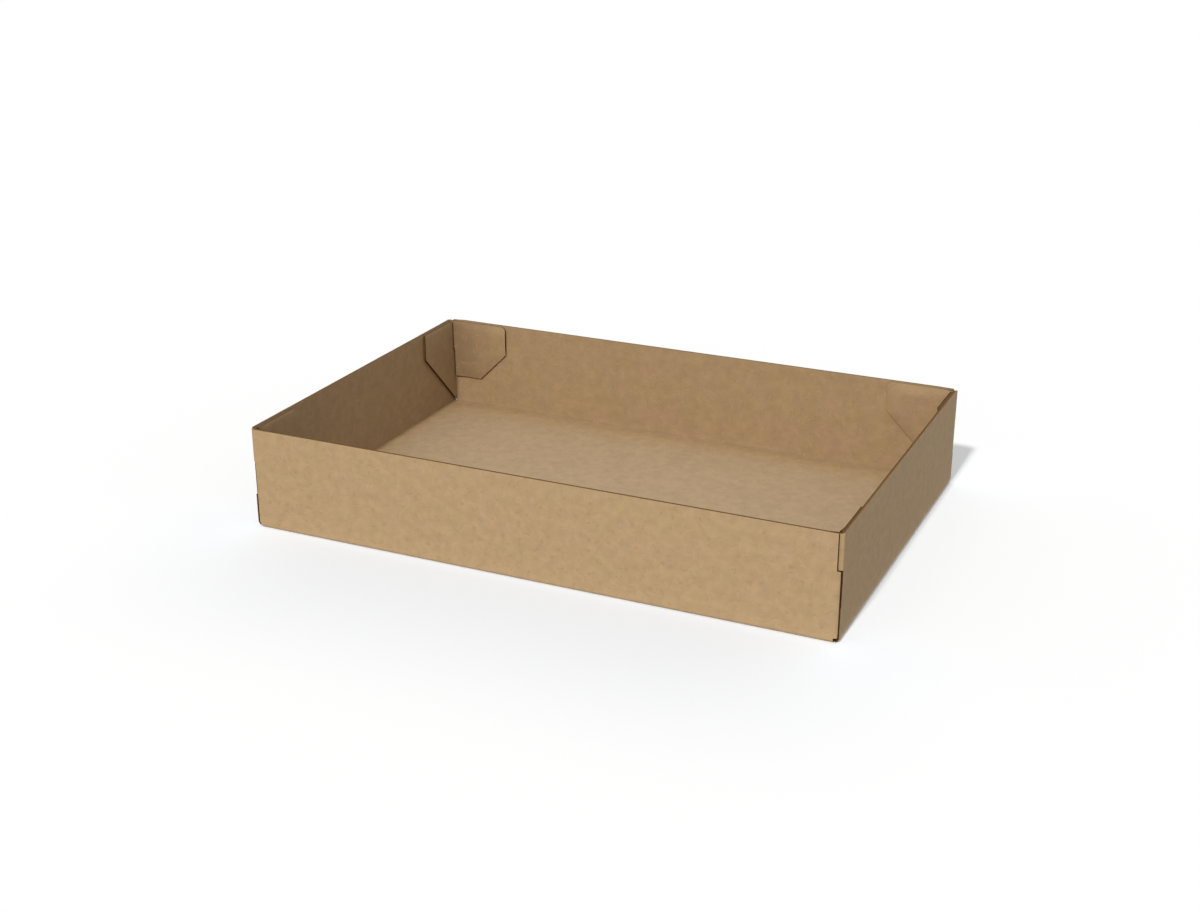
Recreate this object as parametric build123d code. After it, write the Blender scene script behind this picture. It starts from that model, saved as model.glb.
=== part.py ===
from build123d import *
import os

# A shallow open tray folded from one cut sheet of board, its corners locked without glue.
# Millimetres, Z up, X along the long walls, origin in the middle of the underside.

# The board and the tray it is folded into
board_t = 1.5
inside_long = 300.0
inside_short = 200.0
inside_depth = 50.8

# Inner radius of the folds round the base, outer radius of the sharply pressed corner folds
base_fold_r = 0.9
corner_fold_r = 0.7

# Clear gap behind a flap, and width of the cut that parts the upper fold from the lower one
flap_gap = 0.2
knife_gap = 0.3

# Below this height the long wall turns the corner, above it the short wall does
lock_z = 34.3

# Inset of a long wall's free upper end from the short wall's outer face
long_end_inset = 2.2

# Inset of a short wall's free lower end from the long wall's outer face, and where it steps back
short_end_inset = 1.2
short_slit_inset = 2.5
short_slit_z = 16.8

# The flap on a long wall: reach, rise of its slanting edge, corner clearance of its upper tongue
long_flap_reach = 35.9
long_flap_rise = 1.1
long_flap_clear = 1.1

# The flap on a short wall: reach, shift of its slanting edge, underside and corner clearance
short_flap_reach = 37.5
short_flap_shift = 2.4
short_flap_z = 17.8
short_flap_clear = 0.6

# Flaps end a little under the rim and have one rounded corner
flap_drop = 0.5
flap_corner_r = 3.0

half_long = inside_long / 2 + board_t
half_short = inside_short / 2 + board_t
rim_z = board_t + inside_depth
flap_top = rim_z - flap_drop
base_bend = base_fold_r + board_t
flap_outer = board_t + flap_gap
flap_inner = flap_outer + board_t
upper_z = lock_z + knife_gap

into_x = (-1, 0, 0)
into_y = (0, -1, 0)


def corner_point(inset_x, inset_y, height):
    # a point given by its insets from the outer faces of the short wall and the long wall
    return (half_long - inset_x, half_short - inset_y, height)


def long_side(inset_y, outline):
    # a flat panel standing along a long wall, its outer face at the given inset
    points = [corner_point(inset_x, inset_y, height) for inset_x, height in outline]
    return extrude(make_face(Polyline(*points, close=True)), amount=board_t, dir=into_y)


def short_side(inset_x, outline):
    # a flat panel standing along a short wall, its outer face at the given inset
    points = [corner_point(inset_x, inset_y, height) for inset_y, height in outline]
    return extrude(make_face(Polyline(*points, close=True)), amount=board_t, dir=into_x)


def base_fold(place, length):
    # a quarter turn of board round the origin of the given plane
    ring = Circle(base_bend) - Circle(base_fold_r)
    quarter = ring & Rectangle(base_bend, base_bend, align=(Align.MIN, Align.MIN))
    return extrude(place * quarter, amount=length)


def round_edge(body, point, radius):
    # the edge of the body whose middle lies nearest the point, rounded
    edges = body.edges().sort_by(lambda edge: (edge.center() - Vector(*point)).length)
    return fillet(edges[0], radius)


# One quarter of the base, up to its folds
base_x = half_long - base_bend
base_y = half_short - base_bend
base = Box(base_x, base_y, board_t, align=(Align.MIN, Align.MIN, Align.MIN))

# Folds that turn the walls up from the base
long_fold_place = Plane(origin=(0, base_y, base_bend), x_dir=(0, 0, -1), z_dir=(1, 0, 0))
long_fold = base_fold(long_fold_place, base_x)
short_fold_place = Plane(origin=(base_x, 0, base_bend), x_dir=(1, 0, 0), z_dir=(0, 1, 0))
short_fold = base_fold(short_fold_place, half_short - short_end_inset)

# Long wall, whose lower part reaches on to the corner, and the flap that part turns into
long_wall_outline = [
    (half_long, base_bend),
    (flap_outer, base_bend),
    (flap_outer, lock_z),
    (long_end_inset, lock_z),
    (long_end_inset, rim_z),
    (half_long, rim_z),
]
long_flap_outline = [
    (0, base_bend),
    (0, lock_z),
    (flap_inner + long_flap_clear, lock_z),
    (flap_inner + long_flap_clear, flap_top),
    (long_flap_reach, flap_top),
    (long_flap_reach, long_flap_reach + long_flap_rise),
    (base_bend - long_flap_rise, base_bend),
]
long_flap = short_side(flap_outer, long_flap_outline)
long_flap_tip = corner_point(flap_outer + board_t / 2, long_flap_reach, flap_top)
long_flap = round_edge(long_flap, long_flap_tip, flap_corner_r)
long_panel = long_side(0, long_wall_outline) + long_flap
long_panel = round_edge(long_panel, corner_point(flap_outer, 0, (base_bend + lock_z) / 2), corner_fold_r)

# Short wall, whose upper part reaches on to the corner, and the flap that part turns into
short_wall_outline = [
    (half_short, base_bend),
    (short_end_inset, base_bend),
    (short_end_inset, short_slit_z),
    (short_slit_inset, short_slit_z),
    (short_slit_inset, lock_z),
    (flap_inner, lock_z),
    (flap_inner, upper_z),
    (flap_outer, upper_z),
    (flap_outer, flap_top),
    (flap_inner, flap_top),
    (flap_inner, rim_z),
    (half_short, rim_z),
]
short_flap_outline = [
    (0, upper_z),
    (0, flap_top),
    (short_flap_reach, flap_top),
    (short_flap_reach, short_flap_reach - short_flap_shift),
    (short_flap_z + short_flap_shift, short_flap_z),
    (flap_inner + short_flap_clear, short_flap_z),
    (flap_inner + short_flap_clear, upper_z),
]
short_flap = long_side(flap_outer, short_flap_outline)
short_flap_tip = corner_point(short_flap_reach, flap_outer + board_t / 2, flap_top)
short_flap = round_edge(short_flap, short_flap_tip, flap_corner_r)
short_panel = short_side(0, short_wall_outline) + short_flap
short_panel = round_edge(short_panel, corner_point(0, flap_outer, (upper_z + flap_top) / 2), corner_fold_r)

# One quarter of the sheet, mirrored twice into the whole tray
quarter = base + long_fold + short_fold + long_panel + short_panel
half = quarter + mirror(quarter, about=Plane.YZ)
folded_tray = half + mirror(half, about=Plane.XZ)

os.makedirs("parts", exist_ok=True)
export_step(folded_tray, "parts/folded_tray.step")
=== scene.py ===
from math import ceil, cos, hypot, pi, radians, sin
import bmesh
import bpy
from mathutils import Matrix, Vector, noise


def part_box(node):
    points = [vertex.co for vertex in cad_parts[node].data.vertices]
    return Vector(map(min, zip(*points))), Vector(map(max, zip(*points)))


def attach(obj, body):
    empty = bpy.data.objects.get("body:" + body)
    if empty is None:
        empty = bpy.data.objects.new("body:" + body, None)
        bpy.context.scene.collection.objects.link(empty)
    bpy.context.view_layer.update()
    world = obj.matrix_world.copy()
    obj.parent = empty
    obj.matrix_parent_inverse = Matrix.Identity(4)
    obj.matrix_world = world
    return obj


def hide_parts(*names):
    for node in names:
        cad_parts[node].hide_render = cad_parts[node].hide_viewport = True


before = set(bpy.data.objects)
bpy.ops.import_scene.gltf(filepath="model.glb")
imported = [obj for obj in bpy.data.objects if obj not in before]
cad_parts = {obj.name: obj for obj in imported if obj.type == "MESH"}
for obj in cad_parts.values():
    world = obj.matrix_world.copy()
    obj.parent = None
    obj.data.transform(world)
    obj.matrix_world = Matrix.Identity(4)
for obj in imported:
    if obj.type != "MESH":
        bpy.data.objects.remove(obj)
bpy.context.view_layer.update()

mm = 0.001

# what counts as nothing, in millimetres and square millimetres
tiny = 1e-6
hair = 1e-7
leastArea = 1e-5
placesPerMm = 1000  # places closer together than this are one place
placeShift = 0.13  # keeps round lengths away from the line between two of them

# the folded sheet, in millimetres; an inset is counted from the outer face of the wall it lies along
sheet = {
    "boardT": 1.5,
    "baseFoldR": 0.9,  # inner radius of the folds round the base
    "cornerOuterR": 0.5,
    "cornerInnerR": 0.15,
    "longSoftR": 1.7,  # the outer layer rounds off the long walls' corner folds
    "shortSoftR": 1.1,
    "longBulge": 0.0,  # how far the same folds stand out sideways, past the flap
    "shortBulge": 0.0,
    "flapGap": 0.2,  # behind every flap
    "knifeGap": 0.12,  # width of the cut between the upper and the lower fold
    "lockZ": 34.3,  # below it the long wall turns the corner, above it the short wall does
    "flapDrop": 0.5,  # how far under the rim a flap ends
    "longFlapReach": 35.9,
    "longFlapRise": 1.1,
    "longFlapClear": 1.1,
    "longFlapCornerR": 3.0,
    "shortFlapReach": 37.5,
    "shortFlapShift": 2.4,
    "shortFlapZ": 17.8,
    "shortFlapClear": 0.6,
    "shortFlapCornerR": 3.0,
    "tipInset": 1.2,  # free lower end of a short wall
    "slitInset": 2.5,  # the same end above the step
    "slitZ": 16.8,
    "footShare": 1 / 6,  # at its tip the base fold starts after this share of its turn
    "heelCut": 0.3,  # taken off the end of the long base fold
    "toeDrop": 0.0,  # how far the lowest corner of a long wall's flap hangs down
    "rimDrop": 0.0,  # how far a long wall's rim sinks at its end
    "longTopCrush": 0.1,  # how flat a flap is pressed: along its top, at its end, along its slant
    "longEndCrush": 0.0,
    "shortTopCrush": 0.6,
    "shortEndCrush": 0.0,
    "slantCrush": 0.0,
    "flapPaintedShade": 0.0,  # painted shade: how much darker an upper flap gets towards the corner
}

# what differs from corner to corner: left or right, front or back
cornerChanges = {
    (-1, -1): {"slitInset": 2.8, "tipInset": 2.0},
    (1, -1): {
        "slitInset": 2.1,
        "tipInset": 1.4,
        "shortFlapShift": 1.8,
        "longSoftR": 1.15,
        "longBulge": 1.15,
        "longTopCrush": 0.6,
    },
    (-1, 1): {
        "tipInset": 0.3,
        "shortFlapShift": 2.6,
        "shortSoftR": 0.5,
        "shortBulge": 0.9,
        "rimDrop": 0.45,
        "heelCut": 0.0,
        "toeDrop": 0.4,
        "longFlapCornerR": 1.2,
        "slantCrush": 0.5,
        "flapPaintedShade": 1.0,
    },
    (1, 1): {
        "slitInset": 1.6,
        "tipInset": 1.0,
        "shortFlapShift": 1.6,
        "shortSoftR": 0.5,
        "shortBulge": 1.2,
        "rimDrop": 0.25,
        "longTopCrush": 0.0,
        "longEndCrush": 1.0,
        "shortTopCrush": 1.0,
        "shortEndCrush": 1.15,
        "slantCrush": 0.6,
    },
}

# how finely the board is cut up, and how far it strays from true
boardMake = {
    "cell": 2.5,
    "baseFoldSteps": 6,
    "cornerSteps": 5,
    "tipSteps": 6,
    "skewLength": 3.0,
    "longMarks": (1.2, 0.7),  # more lines across the board, short of where a wall starts to turn
    "shortMark": 0.45,
    "flapMarks": (0, 0.25, 0.5, 0.62, 0.85),  # and past where a flap starts
    "edgeRound": 0.13,
    "edgeBevel": 0.3,
    "edgeHollow": 0.2,
    "edgeLimit": 0.6,  # keeps the round small at a sharp corner of the outline
    "edgeWobble": 0.06,
    "wobbleLength": 1.7,
    "wave": 0.14,
    "waveLength": 38.0,
    "waveFade": 14.0,
    "waveSeeds": {"base": 3.7, "back": 11.3, "front": 17.9, "right": 23.1, "left": 29.6},
    "sharpAngle": 20,
    "bulgeEnd": 0.2,
    "crushDepth": 1.25,  # how far a flap's inner side sinks where it is pressed flat, and its outer side
    "crushGap": 0.15,
    "crushLength": 4.5,
    "rimDropLength": 8.0,
    "toeLength": 6.0,
    # painted sheen on the floor away from its folds, painted light on the short walls, painted shade on the
    # floor near its folds
    "paintedSheenFade": 26.0,
    "shortWallPaintedLight": 0.6,
    "foldPaintedShade": 0.35,
}

low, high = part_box("folded_tray")
halfLong, halfShort, rimZ = high.x / mm, high.y / mm, high.z / mm
boardT = sheet["boardT"]
bend = sheet["baseFoldR"] + boardT
baseX, baseY = halfLong - bend, halfShort - bend
flapOuter = boardT + sheet["flapGap"]
flapInner = flapOuter + boardT
flapTop = rimZ - sheet["flapDrop"]
lockZ, slitZ = sheet["lockZ"], sheet["slitZ"]
upperZ = lockZ + sheet["knifeGap"]
outerR, innerR = sheet["cornerOuterR"], sheet["cornerInnerR"]
flapStart = boardT + innerR
longEnd = halfLong - flapOuter - outerR  # where the long wall starts to turn
shortEnd = halfShort - flapInner  # where the short wall starts to turn
shortTip = halfShort - sheet["tipInset"]
slitTip = halfShort - sheet["slitInset"]
foldLength = pi / 2 * (sheet["baseFoldR"] + boardT / 2)
cornerLength = pi / 4 * boardT


def within(value, least, most):
    return min(most, max(least, value))


def clamp(value):
    return within(value, 0.0, 1.0)


def linesBetween(marks, step):
    lines = [marks[0]]
    for a, b in zip(marks, marks[1:]):
        count = ceil((b - a) / step)
        lines += [a + (b - a) * k / count for k in range(1, count)] + [b]
    return lines


def shares(count):
    return [k / count for k in range(count + 1)]


cell, skewLength = boardMake["cell"], boardMake["skewLength"]
longMarks = [longEnd - back for back in boardMake["longMarks"]]
shortMark = shortEnd - boardMake["shortMark"]
xLines = linesBetween([0, longEnd - skewLength, *longMarks, baseX, longEnd], cell)
yLines = linesBetween([0, shortEnd - skewLength, shortMark, shortEnd, slitTip, baseY, shortTip], cell)
foldMarks = [flapStart + step for step in boardMake["flapMarks"]]
zLines = linesBetween([bend, slitZ, lockZ, upperZ, flapTop, rimZ], cell)
foldLines = shares(boardMake["baseFoldSteps"])
cornerLines = shares(boardMake["cornerSteps"])


def clipped(outline, axis, start, end):
    # the part of a convex outline between two lines
    for side, limit in ((1, start), (-1, end)):
        kept = []
        for k, b in enumerate(outline):
            a = outline[k - 1]
            overA, overB = side * (a[axis] - limit), side * (b[axis] - limit)
            if min(overA, overB) < -hair and max(overA, overB) > hair:
                share = overA / (overA - overB)
                kept.append(tuple(p + share * (q - p) for p, q in zip(a, b)))
            if overB > -hair:
                kept.append(b)
        outline = kept
    return outline


def areaOf(outline):
    pairs = zip(outline, outline[1:] + outline[:1])
    return abs(sum(a[0] * b[1] - b[0] * a[1] for a, b in pairs)) / 2


def cellsOf(outline, sLines, hLines):
    for s0, s1 in zip(sLines, sLines[1:]):
        strip = clipped(outline, 0, s0, s1)
        if len(strip) < 3:
            continue
        for h0, h1 in zip(hLines, hLines[1:]):
            piece = clipped(strip, 1, h0, h1)
            if len(piece) > 2 and areaOf(piece) > leastArea:
                yield piece


def oblong(s0, h0, s1, h1):
    return [(s0, h0), (s1, h0), (s1, h1), (s0, h1)]


def roundTip(s, h, radius):
    # the upper outer corner of a flap
    turns = [share * pi / 2 for share in shares(boardMake["tipSteps"])]
    return [(s - radius + radius * sin(a), h - radius + radius * cos(a)) for a in turns]


def lean(kind, x, y, z):
    # how far the board strays from true; a flap and the wall behind it lean alike
    if kind == "fold":
        return Vector()
    length, seeds = boardMake["waveFade"], boardMake["waveSeeds"]
    if kind == "base":
        fade = clamp((baseX - abs(x)) / length) * clamp((baseY - abs(y)) / length)
        spot, way = (x, y, seeds["base"]), (0, 0, 1)
    elif kind == "long":
        fade = clamp((longEnd - abs(x)) / length) * clamp((z - bend) / length)
        spot, way = (x, z, seeds["back" if y > 0 else "front"]), (0, -1 if y > 0 else 1, 0)
    else:
        fade = clamp((shortEnd - abs(y)) / length) * clamp((z - bend) / length)
        spot, way = (y, z, seeds["right" if x > 0 else "left"]), (-1 if x > 0 else 1, 0, 0)
    rise = (1 + noise.noise(Vector(spot) / boardMake["waveLength"])) / 2
    return Vector(way) * boardMake["wave"] * fade * rise


# the board as one layer of places, each with its outer and inner point and its spot on the flat sheet
placeNumber, boardCells = {}, []
# each place also carries its fold wear with painted crease shade, and a tone: painted sheen and light where
# positive, painted shade where negative
outerPoint, innerPoint, flatSpot, foldWearAndShade, paintedLightAndShade = [], [], [], [], []


def addPlace(outer, inner, flat, wearAndShade, tone, kind):
    key = tuple(round((p + q) * placesPerMm / 2 + placeShift) for p, q in zip(outer, inner))
    if key not in placeNumber:
        placeNumber[key] = len(outerPoint)
        middle = [(p + q) / 2 for p, q in zip(outer, inner)]
        shift = lean(kind, *middle)
        outerPoint.append(Vector(outer) + shift)
        innerPoint.append(Vector(inner) + shift)
        flatSpot.append(flat)
        foldWearAndShade.append(wearAndShade)
        paintedLightAndShade.append(tone)
    return placeNumber[key]


def addPanel(kind, zone, signs, outlines, sLines, hLines, placeOf):
    for outline in outlines:
        for piece in cellsOf(outline, sLines, hLines):
            ids = []
            for s, h in piece:
                outer, inner, flat, *looks = placeOf(s, h)
                outer = (outer[0] * signs[0], outer[1] * signs[1], outer[2])
                inner = (inner[0] * signs[0], inner[1] * signs[1], inner[2])
                flat = (flat[0] * signs[0], flat[1] * signs[1])
                ids.append(addPlace(outer, inner, flat, *looks, kind))
            ids = [v for k, v in enumerate(ids) if v != ids[k - 1]]
            if len(ids) > 2:
                boardCells.append((ids, zone))


def longSide(along, inset, z):
    return (along, halfShort - inset, z)


def shortSide(along, inset, z):
    return (halfLong - inset, along, z)


def softened(side, half, along, inset, z, fold):
    # a point of the outer layer, drawn on to the round of its corner fold, which may stand out
    softR, bulge = fold
    a, b = along - (half - flapOuter - softR), softR - inset
    if a > 0:
        turn = 1.0 - clamp(-b / boardMake["bulgeEnd"]) if b <= 0 else a / hypot(a, b)
        if b > 0:
            pull = softR / hypot(a, b) - 1
            along, inset = along + a * pull, inset - b * pull
        along += bulge * turn
    return side(along, inset, z)


def turned(side, half, share, z, fold):
    # a wall turning the corner: outer and inner point after a share of the turn
    a = share * pi / 2
    along, inset = half - flapOuter - outerR + outerR * sin(a), outerR - outerR * cos(a)
    outer = softened(side, half, along, inset, z, fold)
    inner = side(half - flapInner - innerR + innerR * sin(a), flapStart - innerR * cos(a), z)
    return outer, inner


def slackAt(s, end):
    return clamp((s - end + skewLength) / skewLength)


def wallPlace(side, half, end, s, z, fold):
    # near its fold a wall's outer layer runs on further than its inner one; a free end has no fold
    if not fold:
        return side(s, 0.0, z), side(s, boardT, z)
    slack = slackAt(s, end)
    outerS = s + slack * (half - flapOuter - outerR - end)
    innerS = s + slack * (half - flapInner - innerR - end)
    return softened(side, half, outerS, 0.0, z, fold), side(innerS, boardT, z)


def flapPlace(side, half, s, clear, z, fold, crush):
    slack = 1 - clamp((s - flapStart) / (flapInner + clear - flapStart))
    crush *= clamp((s - flapInner - clear) / boardMake["crushLength"])
    along = half - flapOuter + crush * boardMake["crushGap"]
    outer = softened(side, half, along, s - slack * (flapStart - outerR), z, fold)
    return outer, side(half - flapInner + crush * boardMake["crushDepth"], s, z)


def heightSpot(z):
    return foldLength + z - bend


def softStep(value):
    value = clamp(value)
    return value * value * (3 - 2 * value)


def foldWearAndShadeAt(share):
    # how worn a fold is after a share of its turn; on the inner liner the same mask paints shade into the
    # crease
    return sin(share * pi) ** 0.5 if 0 < share < 1 else 0.0


def foldShadeAt(share):
    # painted shade near the base's folds, fading out as the base turns up into a wall
    return -boardMake["foldPaintedShade"] * (1 - share)


def buildQuarter(signs):
    own = {**sheet, **cornerChanges[signs]}
    longFold, shortFold = (own["longSoftR"], own["longBulge"]), (own["shortSoftR"], own["shortBulge"])
    crushLength = boardMake["crushLength"]

    def basePlace(x, y):
        # painted sheen: the floor is paler away from its folds; painted shade near them
        nearLong, nearShort = (baseY - y) / boardMake["paintedSheenFade"], (baseX - x) / boardMake["paintedSheenFade"]
        paintedSheen = softStep(nearLong) * softStep(2 * nearShort)
        return (x, y, 0.0), (x, y, boardT), (x, y), 0.0, paintedSheen - boardMake["foldPaintedShade"] * (1 - paintedSheen)

    addPanel("base", "flat", signs, [oblong(0, 0, baseX, baseY)], xLines, yLines, basePlace)

    def foldPlace(side, s, share):
        a, innerBend = share * pi / 2, own["baseFoldR"]
        outer = side(s, bend - bend * sin(a), bend - bend * cos(a))
        return outer, side(s, bend - innerBend * sin(a), bend - innerBend * cos(a))

    def longFoldPlace(s, share):
        # towards its upper side the fold runs into the wall's own turn
        ends = zip(foldPlace(longSide, s, share), foldPlace(longSide, s, 1.0), longWallPlace(s, bend)[:2])
        outer, inner = (tuple(p + share * (w - q) for p, q, w in zip(*three)) for three in ends)
        return outer, inner, (s, baseY + share * foldLength), foldWearAndShadeAt(share), foldShadeAt(share)

    def longWallPlace(s, z):
        heel = own["heelCut"] if z < bend + tiny and abs(s - baseX) < tiny else 0.0
        nearEnd = 1 - (longEnd - s) / boardMake["rimDropLength"]
        nearRim = 1 - (rimZ - z) / boardMake["rimDropLength"]
        sunk = softStep(nearEnd) * clamp(nearRim)
        z -= own["rimDrop"] * sunk
        outer, inner = wallPlace(longSide, halfLong, longEnd, s, z, longFold if z < lockZ + tiny else None)
        outer, inner = (outer[0] - heel, *outer[1:]), (inner[0] - heel, *inner[1:])
        return outer, inner, (s, baseY + heightSpot(z)), 0.0, 0.0

    addPanel("fold", "fold", signs, [oblong(0, 0, baseX, 1)], xLines, foldLines, longFoldPlace)
    addPanel("long", "flat", signs, [oblong(0, bend, longEnd, rimZ)], xLines, zLines, longWallPlace)

    def toeAt(z):
        return own["toeDrop"] * clamp(1 - (z - bend) / boardMake["toeLength"])

    def longTurnPlace(share, z):
        outer, inner = turned(longSide, halfLong, share, z - share * toeAt(z), longFold)
        return outer, inner, (longEnd + share * cornerLength, baseY + heightSpot(z)), foldWearAndShadeAt(share), 0.0

    addPanel("fold", "turn", signs, [oblong(0, bend, 1, lockZ)], cornerLines, zLines, longTurnPlace)

    def longFlapPlace(s, z):
        crush = own["longTopCrush"] * softStep(1 - (flapTop - z) / crushLength)
        crush = max(crush, own["longEndCrush"] * softStep(1 - (own["longFlapReach"] - s) / crushLength))
        outer, inner = flapPlace(longSide, halfLong, s, own["longFlapClear"], z - toeAt(z), longFold, crush)
        flat = (longEnd + cornerLength + s - flapStart, baseY + heightSpot(z))
        # painted light on the flap's inner liner, as on the short wall it lies on
        return outer, inner, flat, 0.0, boardMake["shortWallPaintedLight"]

    reach, knee = own["longFlapReach"], own["longFlapReach"] + own["longFlapRise"]
    slope = (reach - flapStart) / (knee - bend)
    tongue = flapInner + own["longFlapClear"]
    lockS = flapStart + (lockZ - bend) * slope
    lower = [(flapStart, bend), (lockS, lockZ), (flapStart, lockZ)]
    upper = [(tongue, lockZ), (tongue, flapTop), *roundTip(reach, flapTop, own["longFlapCornerR"])]
    upper += [(reach, knee), (lockS, lockZ)]
    flapLines = linesBetween([*foldMarks, tongue, reach], cell)
    addPanel("short", "flat", signs, [lower, upper], flapLines, zLines, longFlapPlace)

    tip, slit = halfShort - own["tipInset"], halfShort - own["slitInset"]

    def trimmed(s, z):
        # the free end of the short wall as this corner has it
        if z > slitZ - tiny and s > shortEnd:
            if s <= slitTip:
                return shortEnd + (s - shortEnd) * (slit - shortEnd) / (slitTip - shortEnd)
            return slit + (s - slitTip) * (tip - slit) / (shortTip - slitTip)
        return s if s < baseY else baseY + (s - baseY) * (tip - baseY) / (shortTip - baseY)

    def shortFoldPlace(s, share):
        outer, inner = foldPlace(shortSide, trimmed(s, 0.0), share)
        return outer, inner, (baseX + share * foldLength, s), foldWearAndShadeAt(share), foldShadeAt(share)

    outlines = [oblong(0, 0, baseY, 1), oblong(baseY, own["footShare"], shortTip, 1)]
    addPanel("fold", "fold", signs, outlines, yLines, foldLines, shortFoldPlace)

    def shortWallPlace(s, z):
        turns = upperZ - tiny < z < flapTop + tiny
        outer, inner = wallPlace(shortSide, halfShort, shortEnd, s, z, shortFold if turns else None)
        if s > shortEnd + tiny:
            outer, inner = (outer[0], trimmed(s, z), z), (inner[0], trimmed(s, z), z)
        # painted light on the short wall's inner liner
        return outer, inner, (baseX + heightSpot(z), s), 0.0, boardMake["shortWallPaintedLight"]

    outlines = [oblong(0, bend, shortEnd, rimZ), oblong(shortEnd, bend, slitTip, slitZ)]
    outlines += [oblong(slitTip, bend, shortTip, slitZ), oblong(shortEnd, slitZ, slitTip, lockZ)]
    addPanel("short", "flat", signs, outlines, yLines, zLines, shortWallPlace)

    def shortTurnPlace(share, z):
        outer, inner = turned(shortSide, halfShort, share, z, shortFold)
        return outer, inner, (baseX + heightSpot(z), shortEnd + share * cornerLength), foldWearAndShadeAt(share), 0.0

    addPanel("fold", "turn", signs, [oblong(0, upperZ, 1, flapTop)], cornerLines, zLines, shortTurnPlace)

    reach, knee = own["shortFlapReach"], own["shortFlapReach"] - own["shortFlapShift"]
    footZ, footS = own["shortFlapZ"], own["shortFlapZ"] + own["shortFlapShift"]
    slope = (reach - footS) / (knee - footZ)
    upperS = footS + (upperZ - footZ) * slope
    tongue = flapInner + own["shortFlapClear"]

    def shortFlapPlace(s, z):
        pressed = (
            (own["shortTopCrush"], flapTop - z),
            (own["shortEndCrush"], reach - s),
            (own["slantCrush"], z - footZ - max(0.0, s - footS) / slope),
        )
        crush = max(most * softStep(1 - away / crushLength) for most, away in pressed)
        outer, inner = flapPlace(shortSide, halfShort, s, own["shortFlapClear"], z, shortFold, crush)
        flat = (baseX + heightSpot(z), shortEnd + cornerLength + s - flapStart)
        # painted shade: the flap darker towards its corner
        return outer, inner, flat, 0.0, -own["flapPaintedShade"] * softStep(1 - (s - flapInner) / reach)

    upper = [(flapStart, upperZ), (flapStart, flapTop), *roundTip(reach, flapTop, own["shortFlapCornerR"])]
    upper += [(reach, knee), (upperS, upperZ)]
    lower = [(tongue, upperZ), (upperS, upperZ), (footS, footZ), (tongue, footZ)]
    flapLines = linesBetween([*foldMarks, tongue, reach], cell)
    addPanel("long", "flat", signs, [upper, lower], flapLines, zLines, shortFlapPlace)


for signs in cornerChanges:
    buildQuarter(signs)
print("board laid out,", len(boardCells), "cells")


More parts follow.
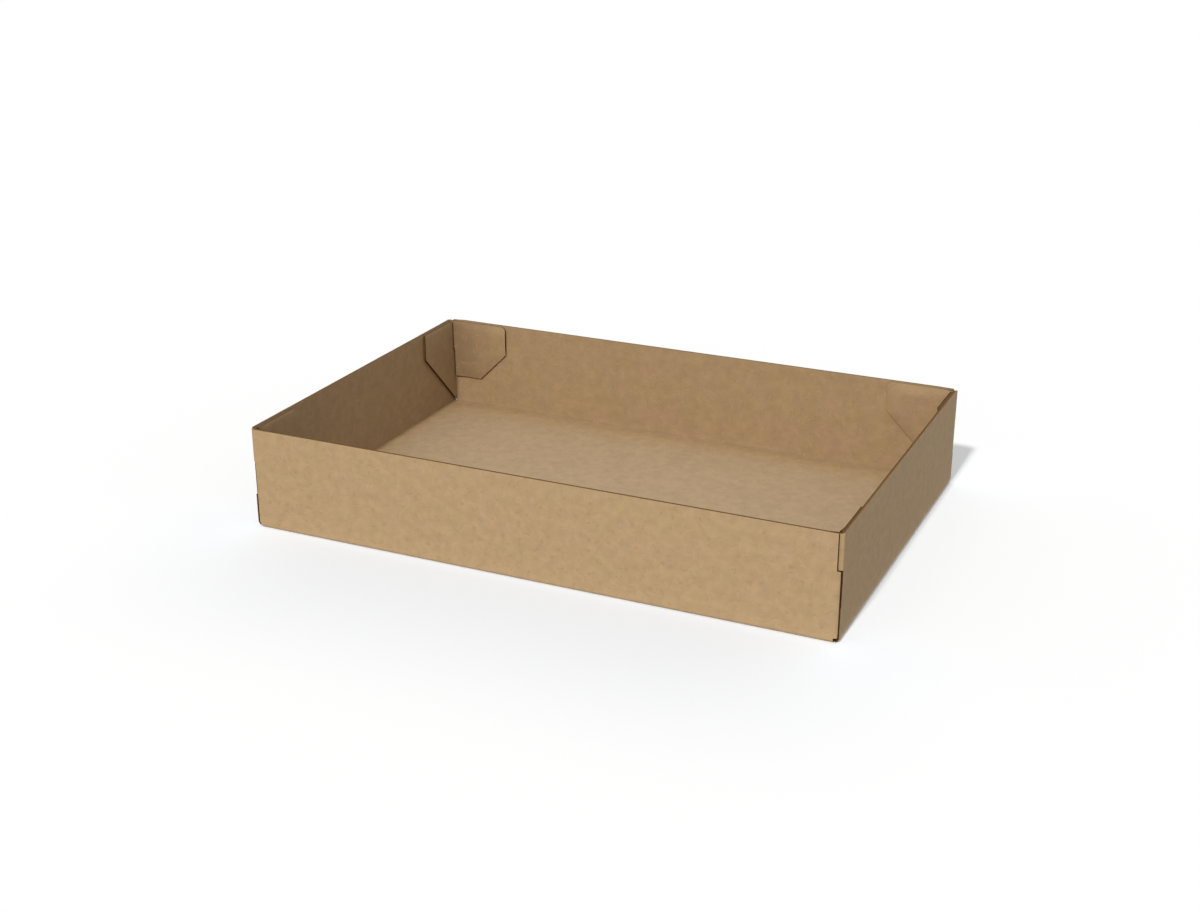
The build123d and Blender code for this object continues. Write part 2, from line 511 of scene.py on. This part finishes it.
# the mesh: both faces of the board, and its cut edge all round
def buildBoard(name):
    edgeUse = {}
    for number, (ids, zone) in enumerate(boardCells):
        for a, b in zip(ids, ids[1:] + ids[:1]):
            edgeUse.setdefault((min(a, b), max(a, b)), []).append(number)
    cutEdges = {pair: used[0] for pair, used in edgeUse.items() if len(used) == 1}
    neighbours, nearCells = {}, {}
    for a, b in cutEdges:
        neighbours.setdefault(a, []).append(b)
        neighbours.setdefault(b, []).append(a)
    for ids, zone in boardCells:
        centre = sum((outerPoint[v] for v in ids), Vector()) / len(ids)
        for v in ids:
            if v in neighbours:
                nearCells.setdefault(v, []).append(centre)

    radius = boardMake["edgeRound"]
    nick = radius / boardT
    bevel, hollow = boardMake["edgeBevel"], boardMake["edgeHollow"]
    profile = [(0, -radius), (bevel * nick, -bevel * radius), (nick, 0), (0.5, -hollow * radius)]
    profile += [(1 - nick, 0), (1 - bevel * nick, -bevel * radius), (1, -radius)]
    rounding = (0, 2, 2, 2, 2, 1)  # the liners go on a little round the edge

    points, spots, wearAndShadeValues, tones, across = [], [], [], [], []
    outerId, innerId, edgeIds = {}, {}, {}

    def addPoint(v, place, depth):
        x, y, z = place  # no point leaves the folded sheet's own box
        inside = (within(x, -halfLong, halfLong), within(y, -halfShort, halfShort), within(z, 0.0, rimZ))
        points.append(Vector(inside) * mm)
        spots.append(flatSpot[v])
        wearAndShadeValues.append(foldWearAndShade[v])
        tones.append(paintedLightAndShade[v])
        across.append(depth)
        return len(points) - 1

    for v, outer in enumerate(outerPoint):
        through = innerPoint[v] - outer
        if v not in neighbours:
            outerId[v], innerId[v] = addPoint(v, outer, 0.0), addPoint(v, innerPoint[v], 1.0)
            continue
        ahead, behind = ((outerPoint[n] - outer).normalized() for n in neighbours[v])
        along = ahead - behind
        outward = along.cross(through).normalized()
        if outward.dot(outer - sum(nearCells[v], Vector()) / len(nearCells[v])) < 0:
            outward.negate()
        corner = 1 / max(boardMake["edgeLimit"], along.length / 2)
        rough = noise.noise((outer + through / 2) / boardMake["wobbleLength"])
        wobble = -boardMake["edgeWobble"] * (1 + rough) / 2
        rim = [(w, outer + through * w + outward * (off * corner + wobble)) for w, off in profile]
        ids = [addPoint(v, place, w) for w, place in rim]
        outerId[v], innerId[v], edgeIds[v] = ids[0], ids[-1], ids

    faces, slots = [], []
    for ids, zone in boardCells:
        faces += [[outerId[v] for v in ids], [innerId[v] for v in reversed(ids)]]
        slots += [0, 1]
    for (a, b), number in cutEdges.items():
        pressed = boardCells[number][1] == "turn"
        for k in range(len(profile) - 1):
            faces.append([edgeIds[a][k], edgeIds[b][k], edgeIds[b][k + 1], edgeIds[a][k + 1]])
            slots.append(0 if pressed else rounding[k])

    mesh = bpy.data.meshes.new(name)
    mesh.from_pydata(points, [], faces)
    mesh.polygons.foreach_set("material_index", slots)
    for label, values in (("foldWearAndShade", wearAndShadeValues), ("paintedLightAndShade", tones), ("acrossEdge", across)):
        mesh.attributes.new(label, "FLOAT", "POINT").data.foreach_set("value", values)
    flatMap = mesh.uv_layers.new(name="flatSheet")
    for loop, place in zip(mesh.loops, flatMap.uv):
        spot = spots[loop.vertex_index]
        place.vector = (spot[0] * mm, spot[1] * mm)
    work = bmesh.new()
    work.from_mesh(mesh)
    bmesh.ops.recalc_face_normals(work, faces=work.faces)
    work.to_mesh(mesh)
    work.free()
    mesh.polygons.foreach_set("use_smooth", [True] * len(mesh.polygons))
    mesh.set_sharp_from_angle(angle=radians(boardMake["sharpAngle"]))
    board = bpy.data.objects.new(name, mesh)
    bpy.context.scene.collection.objects.link(board)
    return board


trayBoard = buildBoard("kraftTrayBoard")
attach(trayBoard, "root")
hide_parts("folded_tray")
print("tray folded,", len(trayBoard.data.polygons), "faces")


# shader helpers
def addNode(tree, kind, inputs=(), **settings):
    made = tree.nodes.new("ShaderNode" + kind)
    for name, value in settings.items():
        setattr(made, name, value)
    for name, value in dict(inputs).items():
        if isinstance(value, bpy.types.NodeSocket):
            tree.links.new(value, made.inputs[name])
        else:
            made.inputs[name].default_value = value
    return made


def calc(tree, operation, a, b=0.0, c=0.0):
    return addNode(tree, "Math", {0: a, 1: b, 2: c}, operation=operation).outputs[0]


def ramp(tree, value, start, end, low=0.0, high=1.0, kind="SMOOTHSTEP"):
    values = {"Value": value, "From Min": start, "From Max": end, "To Min": low, "To Max": high}
    return addNode(tree, "MapRange", values, interpolation_type=kind).outputs[0]


def blendColour(tree, share, a, b, way="MIX"):
    made = addNode(tree, "Mix", {0: share, 6: a, 7: b}, data_type="RGBA", blend_type=way)
    return made.outputs[2]


def newGroup(name, inputs, outputs):
    group = bpy.data.node_groups.new(name, "ShaderNodeTree")
    for label, kind, value in inputs:
        socket = group.interface.new_socket(label, in_out="INPUT", socket_type="NodeSocket" + kind)
        if value is not None:
            socket.default_value = value
    for label in outputs:
        group.interface.new_socket(label, in_out="OUTPUT", socket_type="NodeSocketFloat")
    return group, group.nodes.new("NodeGroupInput").outputs, group.nodes.new("NodeGroupOutput").inputs


# strands, blots and specks of the paper; lengths in mm, or as shares of the cell that holds one
fibreMake = {
    "crossStep": 3.1,  # how much further along V than along U the seed moves a layer
    "turn": 0.3,
    "bend": 1.6,
    "core": 0.3,  # share of a strand's or a spot's half width that has its full strength
    "ends": (0.25, 0.42),
    "longerBy": 2.2,
    "thickerBy": 2.4,
    "shortStrength": 0.45,
    "longSeed": 24.6,
    "paleSeed": 17.3,
    "darkSeed": 71.7,
    "blotSize": (0.1, 0.34),
    "blotWander": 0.12,
    "speckCell": 3.0,
    "speckSize": (0.07, 0.13),
    "speckWander": 0.05,
    "cloudDetail": 2.0,
    "mottleDetail": 1.5,
    "grainHeight": 0.2,
    "paleHeight": 0.5,
}


def fibreLayer(tree, place, size, width, seed, keep):
    # short bent strands, one to a cell at most, lying any way
    step, perCell = (seed, fibreMake["crossStep"] * seed, 0), calc(tree, "DIVIDE", 1.0, size)
    shifted = addNode(tree, "VectorMath", {0: place, 1: step}, operation="ADD").outputs[0]
    scaled = addNode(tree, "VectorMath", {0: shifted, "Scale": perCell}, operation="SCALE").outputs[0]
    cells = addNode(tree, "TexVoronoi", {"Vector": scaled, "Scale": 1.0}, voronoi_dimensions="2D")
    pair = {0: scaled, 1: cells.outputs["Position"]}
    fromCentre = addNode(tree, "VectorMath", pair, operation="SUBTRACT").outputs[0]
    chance = addNode(tree, "SeparateColor", {0: cells.outputs["Color"]}).outputs
    lie = calc(tree, "MULTIPLY_ADD", chance[0], pi, fibreMake["turn"])
    spun = addNode(tree, "VectorRotate", {"Vector": fromCentre, "Angle": lie}, rotation_type="Z_AXIS")
    x, y, _ = addNode(tree, "SeparateXYZ", {0: spun.outputs[0]}).outputs
    bent = calc(tree, "MULTIPLY_ADD", chance[1], fibreMake["bend"], -fibreMake["bend"] / 2)
    sag = calc(tree, "MULTIPLY", calc(tree, "MULTIPLY", x, x), bent)
    offLine = calc(tree, "ABSOLUTE", calc(tree, "ADD", y, sag))
    half = calc(tree, "DIVIDE", width, size)
    strand = ramp(tree, offLine, calc(tree, "MULTIPLY", half, fibreMake["core"]), half, 1.0, 0.0)
    ends = ramp(tree, calc(tree, "ABSOLUTE", x), *fibreMake["ends"], 1.0, 0.0)
    chosen = calc(tree, "LESS_THAN", chance[2], keep)
    return calc(tree, "MULTIPLY", calc(tree, "MULTIPLY", strand, ends), chosen)


def makeKraftFibres():
    # paper seen close: soft clouds of pulp, grain, pale and dark fibres, blots, bark specks; lengths in mm
    inputs = [
        ("Place", "Vector", None),
        ("Seed", "Float", 0.0),
        ("Cloud Size", "Float", 15.0),
        ("Mottle Size", "Float", 5.0),
        ("Grain Size", "Float", 0.5),
        ("Fibre Cell", "Float", 2.0),
        ("Fibre Width", "Float", 0.16),
        ("Fibre Share", "Float", 0.45),
        ("Blot Cell", "Float", 6.0),
        ("Blot Share", "Float", 0.55),
        ("Speck Share", "Float", 0.18),
    ]
    outputs = ["Cloud", "Mottle", "Grain", "Pale Fibres", "Dark Fibres", "Blots", "Specks", "Height"]
    tree, given, out = newGroup("kraftFibres", inputs, outputs)
    inMm = addNode(tree, "VectorMath", {0: given["Place"], "Scale": 1 / mm}, operation="SCALE").outputs[0]
    drift = addNode(tree, "CombineXYZ", {"X": 0.0, "Y": 0.0, "Z": given["Seed"]}).outputs[0]
    place = addNode(tree, "VectorMath", {0: inMm, 1: drift}, operation="ADD").outputs[0]
    flat = addNode(tree, "VectorMath", {0: inMm, 1: (1.0, 1.0, 0.0)}, operation="MULTIPLY").outputs[0]

    def cloudAt(size, detail):
        values = {"Vector": place, "Scale": calc(tree, "DIVIDE", 1.0, size), "Detail": detail}
        return addNode(tree, "TexNoise", {**values, "Roughness": 0.5}).outputs[0]

    def bothFibres(seed, keep):
        # short strands, and fewer long and thick ones
        longCell = calc(tree, "MULTIPLY", cellSize, fibreMake["longerBy"])
        thick = calc(tree, "MULTIPLY", width, fibreMake["thickerBy"])
        short = fibreLayer(tree, flat, cellSize, width, seed, keep)
        short = calc(tree, "MULTIPLY", short, fibreMake["shortStrength"])
        long = fibreLayer(tree, flat, longCell, thick, seed + fibreMake["longSeed"], keep)
        return calc(tree, "MAXIMUM", short, long)

    cellSize, width = given["Fibre Cell"], given["Fibre Width"]
    blotCell, speckCell = given["Blot Cell"], fibreMake["speckCell"]
    grain = cloudAt(given["Grain Size"], fibreMake["cloudDetail"])
    pale = bothFibres(fibreMake["paleSeed"], given["Fibre Share"])
    dark = bothFibres(fibreMake["darkSeed"], given["Fibre Share"])

    def dotsAt(cellOf, size, share, wander):
        # round spots, one to a cell at most, their outline bent by the grain
        scale = calc(tree, "DIVIDE", 1.0, cellOf)
        dots = addNode(tree, "TexVoronoi", {"Vector": flat, "Scale": scale}, voronoi_dimensions="2D")
        chance = addNode(tree, "SeparateColor", {0: dots.outputs["Color"]}).outputs
        reach = calc(tree, "MULTIPLY_ADD", grain, wander, dots.outputs["Distance"])
        big = calc(tree, "MULTIPLY_ADD", chance[1], size[1] - size[0], size[0])
        spot = ramp(tree, reach, calc(tree, "MULTIPLY", big, fibreMake["core"]), big, 1.0, 0.0)
        return calc(tree, "MULTIPLY", spot, calc(tree, "LESS_THAN", chance[0], share))

    paleHeight = calc(tree, "MULTIPLY_ADD", pale, fibreMake["paleHeight"], dark)
    made = {
        "Cloud": cloudAt(given["Cloud Size"], fibreMake["cloudDetail"]),
        "Mottle": cloudAt(given["Mottle Size"], fibreMake["mottleDetail"]),
        "Grain": grain,
        "Pale Fibres": pale,
        "Dark Fibres": dark,
        "Blots": dotsAt(blotCell, fibreMake["blotSize"], given["Blot Share"], fibreMake["blotWander"]),
        "Specks": dotsAt(speckCell, fibreMake["speckSize"], given["Speck Share"], fibreMake["speckWander"]),
        "Height": calc(tree, "MULTIPLY_ADD", grain, fibreMake["grainHeight"], paleHeight),
    }
    for label, value in made.items():
        tree.links.new(value, out[label])
    return tree


kraftFibres = makeKraftFibres()
print("fibre shader made")


def newMaterial(name, roughness, specular):
    material = bpy.data.materials.new(name)
    material.use_nodes = True
    tree = material.node_tree
    tree.nodes.clear()
    shader = addNode(tree, "BsdfPrincipled", {"Roughness": roughness, "Specular IOR Level": specular})
    addNode(tree, "OutputMaterial", {"Surface": shader.outputs[0]})
    return material, tree, shader


def addBump(tree, shader, look, height):
    values = {"Strength": look["bump"], "Distance": look["bumpHeight"] * mm, "Height": height}
    tree.links.new(addNode(tree, "Bump", values).outputs[0], shader.inputs["Normal"])


# the liner on both faces of the board
outerLiner = {
    "yellow": (0.505, 0.350, 0.181, 1),
    "pink": (0.514, 0.346, 0.192, 1),
    "pale": (0.60, 0.45, 0.27, 1),
    "dark": (0.25, 0.145, 0.065, 1),
    "blot": (0.43, 0.255, 0.105, 1),
    "speck": (0.13, 0.07, 0.035, 1),
    "creasedAndShaded": (0.50, 0.36, 0.20, 1),
    "cloudRange": (0.32, 0.68),  # how much of the noise goes from one colour to the other
    "shadeRange": (0.3, 0.7),
    "mottleDepth": 0.06,
    "grainDepth": 0.02,
    "paleDepth": 0.32,
    "darkDepth": 0.16,
    "blotDepth": 0.42,
    "speckDepth": 0.6,
    "creaseDepth": 0.2,
    "paintedLightDepth": 0.0,
    "roughness": 0.62,
    "specular": 0.16,
    "bump": 0.35,
    "bumpHeight": 0.06,
    "seed": 0.0,
}
innerLiner = {
    **outerLiner,
    "yellow": (0.373, 0.256, 0.130, 1),
    "pink": (0.378, 0.250, 0.141, 1),
    "pale": (0.49, 0.35, 0.20, 1),
    "dark": (0.20, 0.115, 0.05, 1),
    "blot": (0.30, 0.195, 0.095, 1),
    # painted shade: the inner liner darker in its creases
    "creasedAndShaded": (0.25, 0.16, 0.078, 1),
    # painted sheen and light where the tone is positive, painted shade where it is negative
    "paintedPaleLight": (0.375, 0.268, 0.160, 1),
    "paintedShade": (0.27, 0.175, 0.093, 1),
    "creaseDepth": 0.78,
    "paintedLightDepth": 1.0,
    "blotDepth": 0.26,
    "speckDepth": 0.32,
    "seed": 57.0,
}


def makeLiner(name, look):
    material, tree, shader = newMaterial(name, look["roughness"], look["specular"])
    flat = addNode(tree, "UVMap", uv_map="flatSheet").outputs[0]
    moved = addNode(tree, "VectorMath", {0: flat, 1: (look["seed"] * mm, 0, 0)}, operation="ADD").outputs[0]
    fibres = addNode(tree, "Group", {"Place": moved, "Seed": look["seed"]}, node_tree=kraftFibres)
    parts = fibres.outputs
    cloud = ramp(tree, parts["Cloud"], *look["cloudRange"])
    colour = blendColour(tree, cloud, look["yellow"], look["pink"])
    # painted sheen and light, and painted shade, blended in by the tone
    if look["paintedLightDepth"]:
        tone = addNode(tree, "Attribute", attribute_name="paintedLightAndShade").outputs["Fac"]
        paintedPaleLight = ramp(tree, tone, 0.0, 1.0, 0.0, look["paintedLightDepth"], "LINEAR")
        paintedShade = ramp(tree, tone, 0.0, -1.0, 0.0, look["paintedLightDepth"], "LINEAR")
        colour = blendColour(tree, paintedPaleLight, colour, look["paintedPaleLight"])
        colour = blendColour(tree, paintedShade, colour, look["paintedShade"])
    # fold wear; on the inner liner painted shade in the crease
    crease = addNode(tree, "Attribute", attribute_name="foldWearAndShade").outputs["Fac"]
    colour = blendColour(tree, calc(tree, "MULTIPLY", crease, look["creaseDepth"]), colour, look["creasedAndShaded"])
    for part, depth in (("Mottle", "mottleDepth"), ("Grain", "grainDepth")):
        shade = ramp(tree, parts[part], *look["shadeRange"], 1 - look[depth], 1 + look[depth], "LINEAR")
        grey = addNode(tree, "CombineColor", {0: shade, 1: shade, 2: shade}).outputs[0]
        colour = blendColour(tree, 1.0, colour, grey, "MULTIPLY")
    for part, paint, depth in (
        ("Blots", "blot", "blotDepth"),
        ("Pale Fibres", "pale", "paleDepth"),
        ("Dark Fibres", "dark", "darkDepth"),
        ("Specks", "speck", "speckDepth"),
    ):
        colour = blendColour(tree, calc(tree, "MULTIPLY", parts[part], look[depth]), colour, look[paint])
    tree.links.new(colour, shader.inputs["Base Color"])
    addBump(tree, shader, look, parts["Height"])
    return material


# the board's cut edge
cutBoard = {
    "outerSide": (0.33, 0.225, 0.12, 1),
    "innerSide": (0.13, 0.082, 0.04, 1),
    "edgeShadeTint": (0.66, 0.55, 0.40, 1),  # painted shade on the edges of the front and right wall and the left rim
    "underRimShadeTint": (0.42, 0.32, 0.22, 1),  # painted shade on the edges of the flaps and corners, below the rim
    "layerDepth": 0.3,
    "layerSize": 0.35,
    "layerRange": (0.35, 0.65),
    "sideReach": 0.9,  # where across the edge its inner colour is reached
    "frontEnd": 0.9,  # share of the half width where the front wall's painted edge shade has faded out
    "rimFade": 0.3,  # the painted shade below the rim ends this far over the flaps and starts to fade as far under, in mm
    "roughness": 0.8,
    "specular": 0.1,
    "bump": 0.6,
    "bumpHeight": 0.1,
}


def makeCutEdge(name, look):
    material, tree, shader = newMaterial(name, look["roughness"], look["specular"])
    place = addNode(tree, "TexCoord").outputs["Object"]
    values = {"Place": place, "Grain Size": look["layerSize"]}
    fibres = addNode(tree, "Group", values, node_tree=kraftFibres)
    across = addNode(tree, "Attribute", attribute_name="acrossEdge").outputs["Fac"]
    inward = ramp(tree, across, 0.0, look["sideReach"])
    colour = blendColour(tree, inward, look["outerSide"], look["innerSide"])
    least, most = 1 - look["layerDepth"], 1 + look["layerDepth"]
    shade = ramp(tree, fibres.outputs["Grain"], *look["layerRange"], least, most, "LINEAR")
    x, y, z = addNode(tree, "SeparateXYZ", {0: place}).outputs
    # painted shade on the edges of the front and right wall and the left rim
    offFront = ramp(tree, y, -halfShort * mm, -look["frontEnd"] * halfShort * mm)
    offRight = ramp(tree, x, (halfLong - flapInner) * mm, (halfLong - 2 * flapInner) * mm)
    offLeft = ramp(tree, x, (flapInner - halfLong) * mm, (2 * flapInner - halfLong) * mm)
    # painted shade on the edges below the rim
    below = ramp(tree, z, (flapTop - look["rimFade"]) * mm, (flapTop + look["rimFade"]) * mm, 1.0, 0.0)
    offRims = calc(tree, "MINIMUM", offFront, offRight)
    unshadedEdge = calc(tree, "MINIMUM", offRims, calc(tree, "MAXIMUM", offLeft, below))
    paintedEdgeShade = ramp(tree, unshadedEdge, 0.0, 1.0, 1.0, 0.0)
    colour = blendColour(tree, paintedEdgeShade, colour, look["edgeShadeTint"], "MULTIPLY")
    colour = blendColour(tree, below, colour, look["underRimShadeTint"], "MULTIPLY")
    grey = addNode(tree, "CombineColor", {0: shade, 1: shade, 2: shade}).outputs[0]
    colour = blendColour(tree, 1.0, colour, grey, "MULTIPLY")
    tree.links.new(colour, shader.inputs["Base Color"])
    addBump(tree, shader, look, fibres.outputs["Grain"])
    return material


trayBoard.data.materials.append(makeLiner("kraftLinerOutside", outerLiner))
trayBoard.data.materials.append(makeLiner("kraftLinerInside", innerLiner))
trayBoard.data.materials.append(makeCutEdge("cutBoardEdge", cutBoard))
print("board painted")


# where the tray is seen: floor, light and camera
studio = {
    "floorSize": 12.0,
    "floorSeen": (0.855, 0.855, 0.855, 1),  # as the camera and reflections see it
    "floorBounce": (0.21, 0.21, 0.21, 1),  # what it throws back at the tray
    "nearBounce": (0.9, 0.9, 0.9, 1),  # the same close to the tray
    "nearest": 0.001,
    "nearReach": 0.0045,
    "seenNear": (0.972, 1.015, 1.05, 1),  # painted light: the floor seen close to the tray, brighter and bluer against its shade and brown glow
    "glowReach": 0.022,
    "frontSeen": (0.73, 0.745, 0.765, 1),  # the soft shade on the floor in front of the tray
    "frontStart": (-0.02, 0.01),  # it sets in across the tray's front edge
    "frontReach": 0.15,
    "frontHalf": (0.08, 0.23),
    "floorDrop": 0.0001,
    "floorRoughness": 0.9,
    "sky": 0.42,
    "skyTop": 0.54,  # added straight above, fading to nothing at the horizon
    "sun": 2.2,
    "sunAngle": 4.0,
    "toSun": (-0.8, -55.3, 52.3),
}


def seenDirectly(tree):
    rays = addNode(tree, "LightPath").outputs
    seen = calc(tree, "MAXIMUM", rays["Is Camera Ray"], rays["Is Glossy Ray"])
    return calc(tree, "MAXIMUM", seen, rays["Is Transmission Ray"])


def makeFloor():
    half = studio["floorSize"] / 2
    mesh = bpy.data.meshes.new("floor")
    spots = [(-half, -half, 0), (half, -half, 0), (half, half, 0), (-half, half, 0)]
    mesh.from_pydata(spots, [], [(0, 1, 2, 3)])
    floor = bpy.data.objects.new("floor", mesh)
    floor.location.z = -studio["floorDrop"]
    bpy.context.scene.collection.objects.link(floor)
    material, tree, shader = newMaterial("floorWhite", studio["floorRoughness"], 0.0)
    x, y, _ = addNode(tree, "SeparateXYZ", {0: addNode(tree, "TexCoord").outputs["Object"]}).outputs

    def beyond(along, reach):
        # how far a spot lies outside the tray, along one axis
        return calc(tree, "MAXIMUM", calc(tree, "SUBTRACT", calc(tree, "ABSOLUTE", along), reach * mm), 0.0)

    sides = addNode(tree, "CombineXYZ", {0: beyond(x, halfLong), 1: beyond(y, halfShort), 2: 0.0})
    away = addNode(tree, "VectorMath", {0: sides.outputs[0]}, operation="LENGTH").outputs["Value"]
    near = ramp(tree, away, studio["nearest"], studio["nearReach"], 1.0, 0.0)
    bounce = blendColour(tree, near, studio["floorBounce"], studio["nearBounce"])
    ahead = calc(tree, "MULTIPLY_ADD", y, -1.0, -halfShort * mm)
    sets = ramp(tree, ahead, *studio["frontStart"])
    fades = ramp(tree, ahead, 0.0, studio["frontReach"], 1.0, 0.0)
    between = ramp(tree, calc(tree, "ABSOLUTE", x), *studio["frontHalf"], 1.0, 0.0)
    inFront = calc(tree, "MULTIPLY", calc(tree, "MULTIPLY", sets, fades), between)
    # painted light on the floor, fading away from the tray
    glow = calc(tree, "EXPONENT", calc(tree, "DIVIDE", away, -studio["glowReach"]))
    seen = blendColour(tree, inFront, studio["floorSeen"], studio["frontSeen"])
    glowing = blendColour(tree, 1.0, seen, studio["seenNear"], "MULTIPLY")
    brighter = {0: glowing, "Scale": 1 / studio["floorSeen"][0]}
    glowing = addNode(tree, "VectorMath", brighter, operation="SCALE").outputs[0]
    seen = blendColour(tree, glow, seen, glowing)
    colour = blendColour(tree, seenDirectly(tree), bounce, seen)
    tree.links.new(colour, shader.inputs["Base Color"])
    mesh.materials.append(material)


def makeLight():
    lamp = bpy.data.lights.new("keyLight", "SUN")
    lamp.energy, lamp.angle = studio["sun"], radians(studio["sunAngle"])
    key = bpy.data.objects.new("keyLight", lamp)
    key.rotation_euler = Vector(studio["toSun"]).to_track_quat("Z", "Y").to_euler()
    bpy.context.scene.collection.objects.link(key)
    world = bpy.data.worlds.new("paleRoom")
    world.use_nodes = True
    bpy.context.scene.world = world
    tree = world.node_tree
    tree.nodes.clear()
    up = addNode(tree, "SeparateXYZ", {0: addNode(tree, "TexCoord").outputs["Generated"]}).outputs["Z"]
    sky = calc(tree, "MULTIPLY_ADD", calc(tree, "MULTIPLY", up, up), studio["skyTop"], studio["sky"])
    strength = ramp(tree, seenDirectly(tree), 0.0, 1.0, sky, 1.0, "LINEAR")
    glow = addNode(tree, "Background", {"Color": (1, 1, 1, 1), "Strength": strength})
    addNode(tree, "OutputWorld", {"Surface": glow.outputs[0]})


# the photograph's own view of the tray
lookFrom = {
    "azimuth": 24.5565,
    "elevation": 21.7402,
    "place": (0.329972, -0.740105, 0.349305),
    "lens": 51.062,
    "sensor": 36.0,
    "clip": (0.05, 50.0),
}


def makeCamera():
    turn, rise = radians(lookFrom["azimuth"]), radians(lookFrom["elevation"])
    back = Vector((sin(turn) * cos(rise), -cos(turn) * cos(rise), sin(rise)))
    camera = bpy.data.objects.new("camera", bpy.data.cameras.new("camera"))
    camera.location = lookFrom["place"]
    camera.rotation_euler = back.to_track_quat("Z", "Y").to_euler()
    camera.data.lens, camera.data.sensor_width = lookFrom["lens"], lookFrom["sensor"]
    camera.data.clip_start, camera.data.clip_end = lookFrom["clip"]
    bpy.context.scene.collection.objects.link(camera)
    bpy.context.scene.camera = camera


makeFloor()
makeLight()
makeCamera()
bpy.context.scene.view_settings.view_transform = "Standard"
print("floor, light and camera set")
